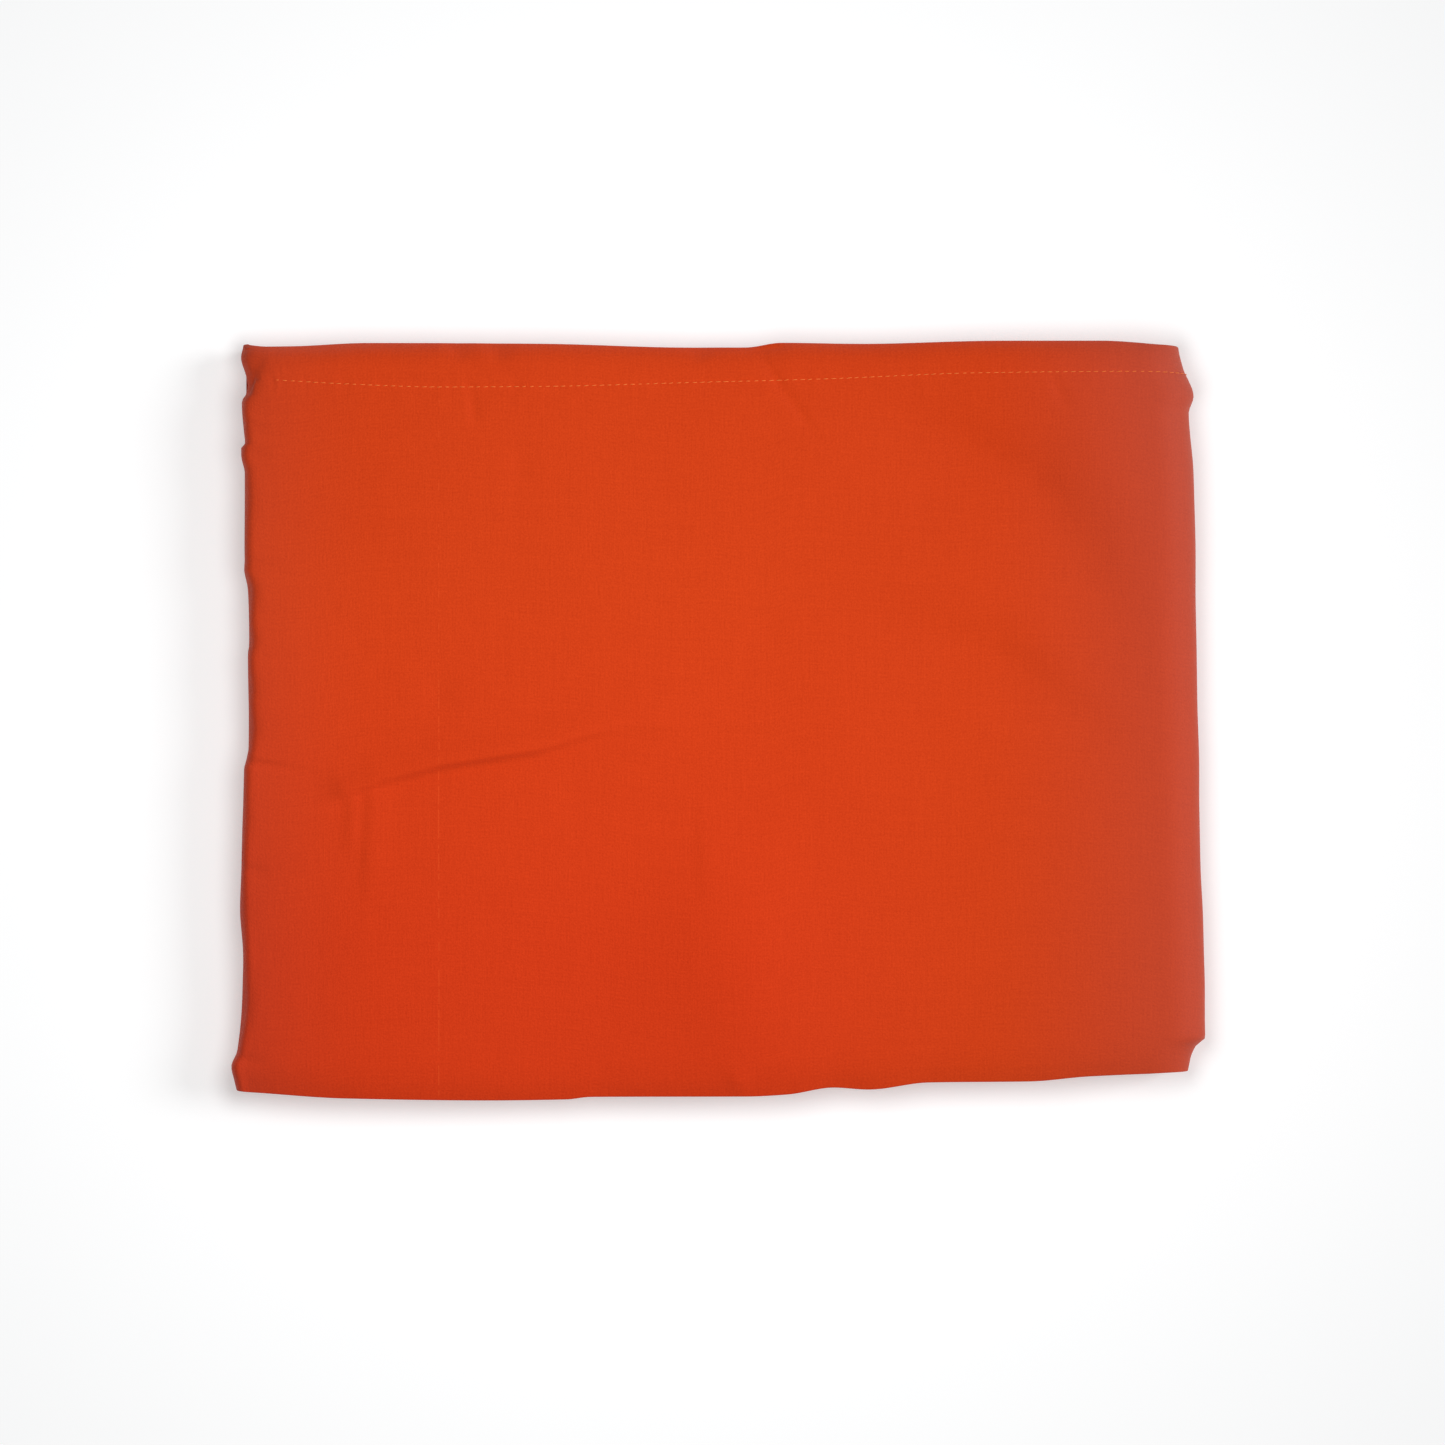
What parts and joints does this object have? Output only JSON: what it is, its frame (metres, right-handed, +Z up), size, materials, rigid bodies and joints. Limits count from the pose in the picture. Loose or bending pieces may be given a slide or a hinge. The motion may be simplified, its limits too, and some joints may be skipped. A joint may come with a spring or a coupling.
{
  "type": "folded buddhist monk robe",
  "caption": "Plain orange cotton monk robe folded flat into a thick rectangle, with a sewn hem along one long edge and a few soft creases.",
  "frame": {"origin": "centre of the bounding box at its base, on the surface that the folded robe lies on", "axes": "+X across the stack, from the small fold on the left to the thick fold on the right; +Y from the plain folded edge nearest the viewer to the hemmed edge; +Z up through the leaves"},
  "size_m": [0.3848, 0.3, 0.0259],
  "materials": {
    "robe_cotton": "matte plain-woven cotton with a faint sheen",
    "hem_cotton": "matte plain-woven cotton, doubled and sewn",
    "inner_cotton": "matte plain-woven cotton, seen at its folded edges"
  },
  "bodies": {
    "root": {"robe_panel": "robe_cotton", "hem_band": "hem_cotton", "folded_layers": "inner_cotton"}
  },
  "joints": []
}
